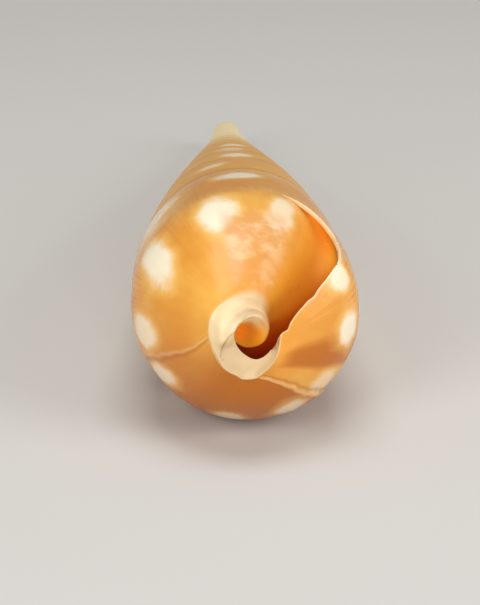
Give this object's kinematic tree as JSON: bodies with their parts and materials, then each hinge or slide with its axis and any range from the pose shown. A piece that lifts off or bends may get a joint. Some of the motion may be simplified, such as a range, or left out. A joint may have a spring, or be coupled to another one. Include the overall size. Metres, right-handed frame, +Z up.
{
  "type": "auger shell",
  "caption": "Tall spired auger shell, orange-tan with rows of white spots, lying on its back with its mouth up and its tip worn blunt.",
  "frame": {"origin": "centre of the bounding box, on the surface that the shell lies on", "axes": "+Y from the canal end towards the apex, +Z up, +X to the right when seen from the canal end"},
  "size_m": [0.0222, 0.105, 0.0219],
  "materials": {
    "shell": "smooth and glossy, orange-tan with white spots and a cream canal"
  },
  "bodies": {
    "root": {"shell": "shell"}
  },
  "joints": []
}
